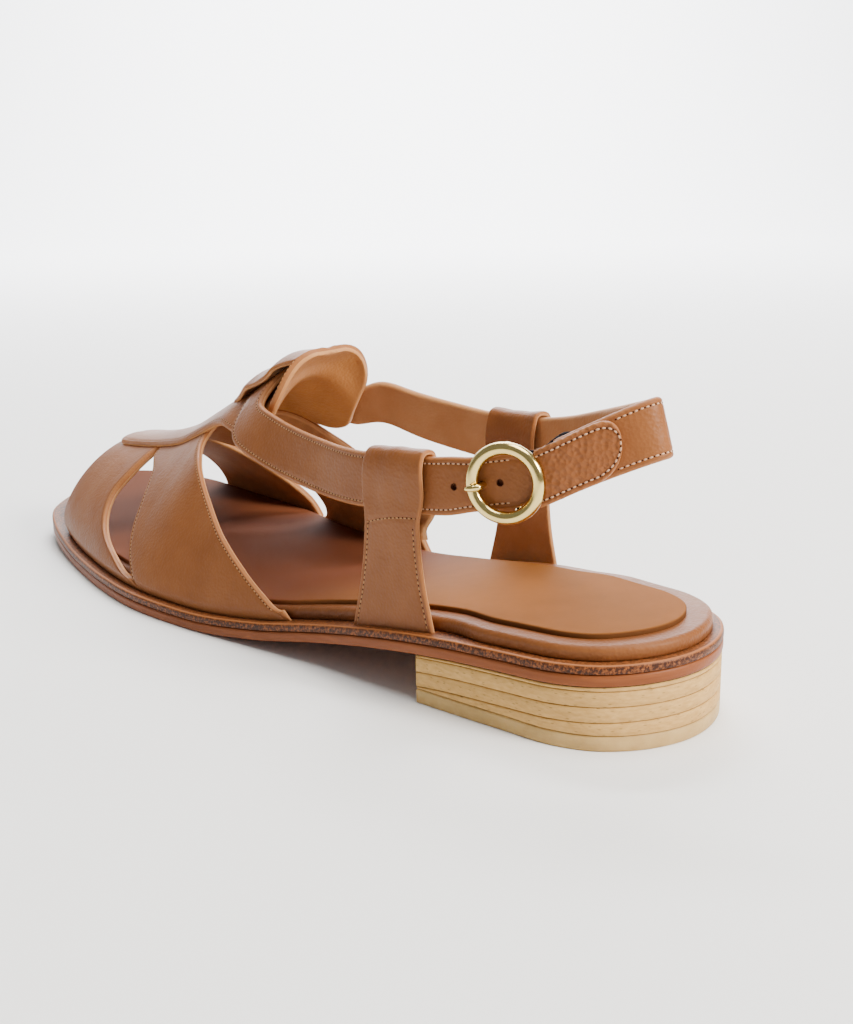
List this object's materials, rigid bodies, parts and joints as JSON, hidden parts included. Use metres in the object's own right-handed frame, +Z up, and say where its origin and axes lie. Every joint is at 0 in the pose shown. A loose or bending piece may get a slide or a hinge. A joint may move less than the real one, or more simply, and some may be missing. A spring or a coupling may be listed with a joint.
{
  "type": "fisherman sandal",
  "caption": "Flat leather fisherman sandal with two joined front straps, a centre strip with a tongue, an ankle strap in side stays with a ring buckle, and a low stacked heel.",
  "frame": {"origin": "bottom centre of the shoe's box, on the floor", "axes": "+Z up, toe towards -Y, heel towards +Y, outer side of the left foot towards +X"},
  "size_m": [0.0852, 0.258, 0.0708],
  "materials": {
    "leather": "smooth finished calf leather, tan brown",
    "sock_leather": "light tan lining leather",
    "edge_leather": "burnished leather edge, dark brown",
    "sole_leather": "waxed sole leather, orange brown",
    "leatherboard": "pale pressed leatherboard",
    "rubber": "translucent pale rubber",
    "elastic": "black woven elastic",
    "brass": "polished pale brass"
  },
  "bodies": {
    "root": {"outsole": "sole_leather", "welt": "edge_leather", "heel_rand": "leatherboard", "heel_lift_1": "leatherboard", "heel_lift_2": "leatherboard", "heel_lift_3": "leatherboard", "top_lift": "rubber", "footbed": "leather", "sock": "sock_leather", "upper": "leather", "ankle_strap": "leather", "ring_buckle": "brass", "prong": "brass", "buckle_tab": "leather", "buckle_elastic": "elastic", "stay_lateral": "leather", "stay_medial": "leather"}
  },
  "joints": []
}
